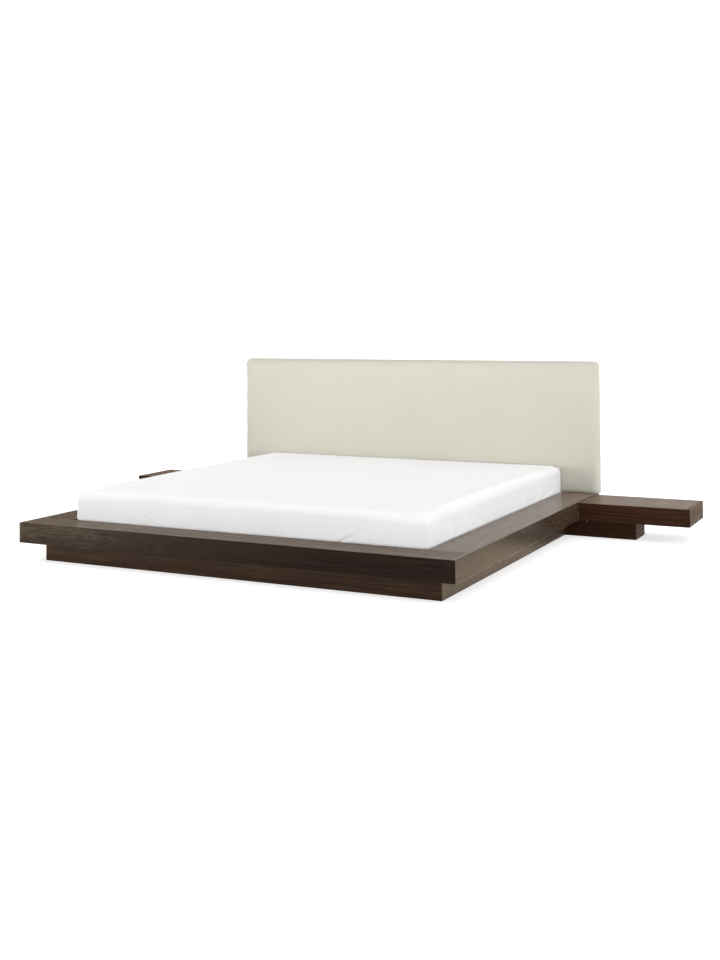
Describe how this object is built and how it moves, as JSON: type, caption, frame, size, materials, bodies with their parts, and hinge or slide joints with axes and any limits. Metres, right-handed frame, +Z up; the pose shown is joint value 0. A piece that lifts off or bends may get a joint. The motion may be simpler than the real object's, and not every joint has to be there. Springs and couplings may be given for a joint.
{
  "type": "double bed",
  "caption": "Low platform double bed: dark veneered box rails form a wide ledge round a sunken mattress, on a recessed plinth, with a padded headboard and bedside wings.",
  "frame": {"origin": "middle of the floor area that the whole bed covers, wings and headboard included", "axes": "+X across the bed to the right seen from the foot, +Y from foot to headboard, +Z up"},
  "size_m": [3.296, 2.275, 0.9],
  "materials": {
    "wenge_veneer": "satin",
    "raw_timber": "matte",
    "plain_board": "matte",
    "cream_leather": "satin",
    "backing_cloth": "matte",
    "sheet_cotton": "matte",
    "mattress_ticking": "matte",
    "tape_webbing": "matte",
    "zinc_steel": "satin",
    "foot_plastic": "matte"
  },
  "bodies": {
    "bed_frame": {"beam_hangers": "zinc_steel", "centre_beam": "raw_timber", "centre_cleat": "raw_timber", "corner_bolts": "zinc_steel", "corner_nuts": "zinc_steel", "foot_rail": "wenge_veneer", "foot_rail_cap_left": "wenge_veneer", "foot_rail_cap_right": "wenge_veneer", "head_rail": "raw_timber", "headboard_back_cover": "backing_cloth", "headboard_bolts": "zinc_steel", "headboard_bottom_rail": "raw_timber", "headboard_centre_stiles": "raw_timber", "headboard_face_board": "plain_board", "headboard_middle_rail": "raw_timber", "headboard_nuts": "zinc_steel", "headboard_pad": "cream_leather", "headboard_stile_left": "raw_timber", "headboard_stile_right": "raw_timber", "headboard_top_rail": "raw_timber", "headboard_washers": "zinc_steel", "levelling_inserts": "zinc_steel", "plinth_back": "raw_timber", "plinth_front": "wenge_veneer", "plinth_glue_blocks": "raw_timber", "plinth_left": "wenge_veneer", "plinth_right": "wenge_veneer", "rail_end_blocks_left": "raw_timber", "rail_end_blocks_right": "raw_timber", "side_rail_left": "wenge_veneer", "side_rail_right": "wenge_veneer", "slat_ledger_left": "raw_timber", "slat_ledger_right": "raw_timber", "slat_tapes_left": "tape_webbing", "slat_tapes_right": "tape_webbing", "slats_left": "raw_timber", "slats_right": "raw_timber", "wing_end_cap_left": "wenge_veneer", "wing_end_cap_right": "wenge_veneer", "wing_foot_back_left": "wenge_veneer", "wing_foot_back_right": "wenge_veneer", "wing_foot_end_left": "wenge_veneer", "wing_foot_end_right": "wenge_veneer", "wing_foot_front_left": "wenge_veneer", "wing_foot_front_right": "wenge_veneer", "wing_inner_panel_left": "raw_timber", "wing_inner_panel_right": "raw_timber", "wing_shell_left": "wenge_veneer", "wing_shell_right": "wenge_veneer", "wing_tie_plates": "zinc_steel", "wing_tie_screws": "zinc_steel"},
    "mattress": {"mattress": "mattress_ticking", "fitted_sheet": "sheet_cotton"},
    "front_levelling_foot": {"levelling_foot_front": "foot_plastic"},
    "middle_levelling_foot": {"levelling_foot_middle": "foot_plastic"},
    "rear_levelling_foot": {"levelling_foot_rear": "foot_plastic"}
  },
  "joints": [
    {"name": "mattress_lift", "type": "slide", "parent": "bed_frame", "child": "mattress", "axis": [0, 0, 1], "range_m": [0, 0.35]},
    {"name": "front_foot_screw", "type": "slide", "parent": "bed_frame", "child": "front_levelling_foot", "axis": [0, 0, 1], "range_m": [0, 0.01]},
    {"name": "middle_foot_screw", "type": "slide", "parent": "bed_frame", "child": "middle_levelling_foot", "axis": [0, 0, 1], "range_m": [0, 0.01]},
    {"name": "rear_foot_screw", "type": "slide", "parent": "bed_frame", "child": "rear_levelling_foot", "axis": [0, 0, 1], "range_m": [0, 0.01]}
  ]
}
